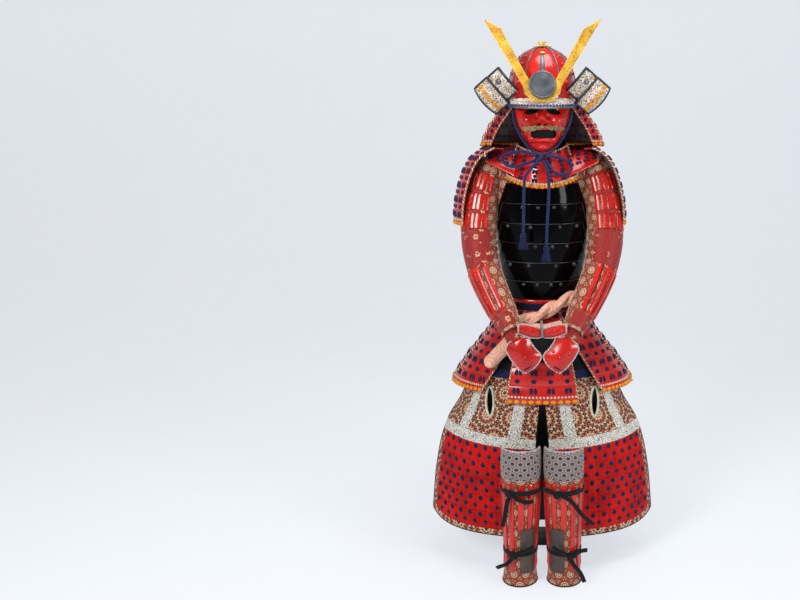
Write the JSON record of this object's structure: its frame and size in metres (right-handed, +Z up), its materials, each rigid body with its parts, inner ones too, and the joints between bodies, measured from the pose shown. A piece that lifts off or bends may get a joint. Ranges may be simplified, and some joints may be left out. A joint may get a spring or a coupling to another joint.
{
  "type": "samurai armour on a display stand",
  "caption": "Laced lamellar armour with ridged helmet, horned crest, face mask, armoured sleeves, thigh and shin guards, standing on a wooden chest and post.",
  "frame": {"origin": "centre of the flat underside of the chest's foot board, at floor level", "axes": "+Z up, the armour faces -Y, +X to the viewer's right"},
  "size_m": [0.7318, 0.5625, 1.7185],
  "materials": {
    "lacquer_red": "glossy red lacquer",
    "lacquer_black": "mirror-black lacquer",
    "lacquer_maroon": "dark red-brown lacquer",
    "gilt": "polished gilt",
    "dark_steel": "dull grey steel",
    "navy_braid": "navy silk braid",
    "brocade": "red-brown floral brocade",
    "printed_leather": "pale printed leather",
    "pink_brocade": "pink padded brocade",
    "hexagon_cloth": "beige and navy padded cloth",
    "black_cotton": "black cotton tie",
    "stand_wood": "plain oiled wood",
    "chest_black": "black painted wood"
  },
  "bodies": {
    "root": {"chest_body": "chest_black", "chest_lid": "chest_black", "stand_post": "stand_wood", "helmet_bowl": "lacquer_red", "helmet_finial": "gilt", "helmet_visor": "printed_leather", "neck_guard": "lacquer_maroon", "helmet_ear_1_right": "printed_leather", "helmet_ear_1_left": "printed_leather", "helmet_ear_2_right": "printed_leather", "helmet_ear_2_left": "printed_leather", "crest_holder": "gilt", "crest_horn_right": "gilt", "crest_horn_left": "gilt", "crest_disc": "dark_steel", "face_mask": "lacquer_red", "throat_guard": "lacquer_red", "chin_cord": "navy_braid", "cord_loop_left": "navy_braid", "cord_loop_right": "navy_braid", "cord_end_left": "navy_braid", "tassel_left": "navy_braid", "cord_end_right": "navy_braid", "tassel_right": "navy_braid", "cuirass_front": "lacquer_black", "cuirass_back": "lacquer_black", "shoulder_strap_right": "lacquer_red", "shoulder_strap_left": "lacquer_red", "waist_lacing": "navy_braid", "sash": "pink_brocade", "sash_end": "pink_brocade", "shoulder_guard_right": "lacquer_red", "shoulder_guard_left": "lacquer_red", "sleeve_right": "brocade", "sleeve_left": "brocade", "hand_plate_right": "lacquer_red", "hand_plate_left": "lacquer_red", "thumb_plate_right": "lacquer_red", "thumb_plate_left": "lacquer_red", "skirt_front": "lacquer_red", "skirt_fore_right": "lacquer_red", "skirt_side_right": "lacquer_red", "skirt_back_right": "lacquer_red", "skirt_fore_left": "lacquer_red", "skirt_side_left": "lacquer_red", "skirt_back_left": "lacquer_red", "thigh_cloth_right": "brocade", "thigh_cloth_left": "brocade", "thigh_plates_right": "lacquer_red", "thigh_plates_left": "lacquer_red", "waist_band": "navy_braid", "shin_guard_right": "lacquer_red", "shin_guard_left": "lacquer_red", "knee_guard_right": "hexagon_cloth", "knee_guard_left": "hexagon_cloth", "tie_upper_right": "black_cotton", "tie_upper_left": "black_cotton", "tie_lower_right": "black_cotton", "tie_lower_left": "black_cotton"}
  },
  "joints": []
}
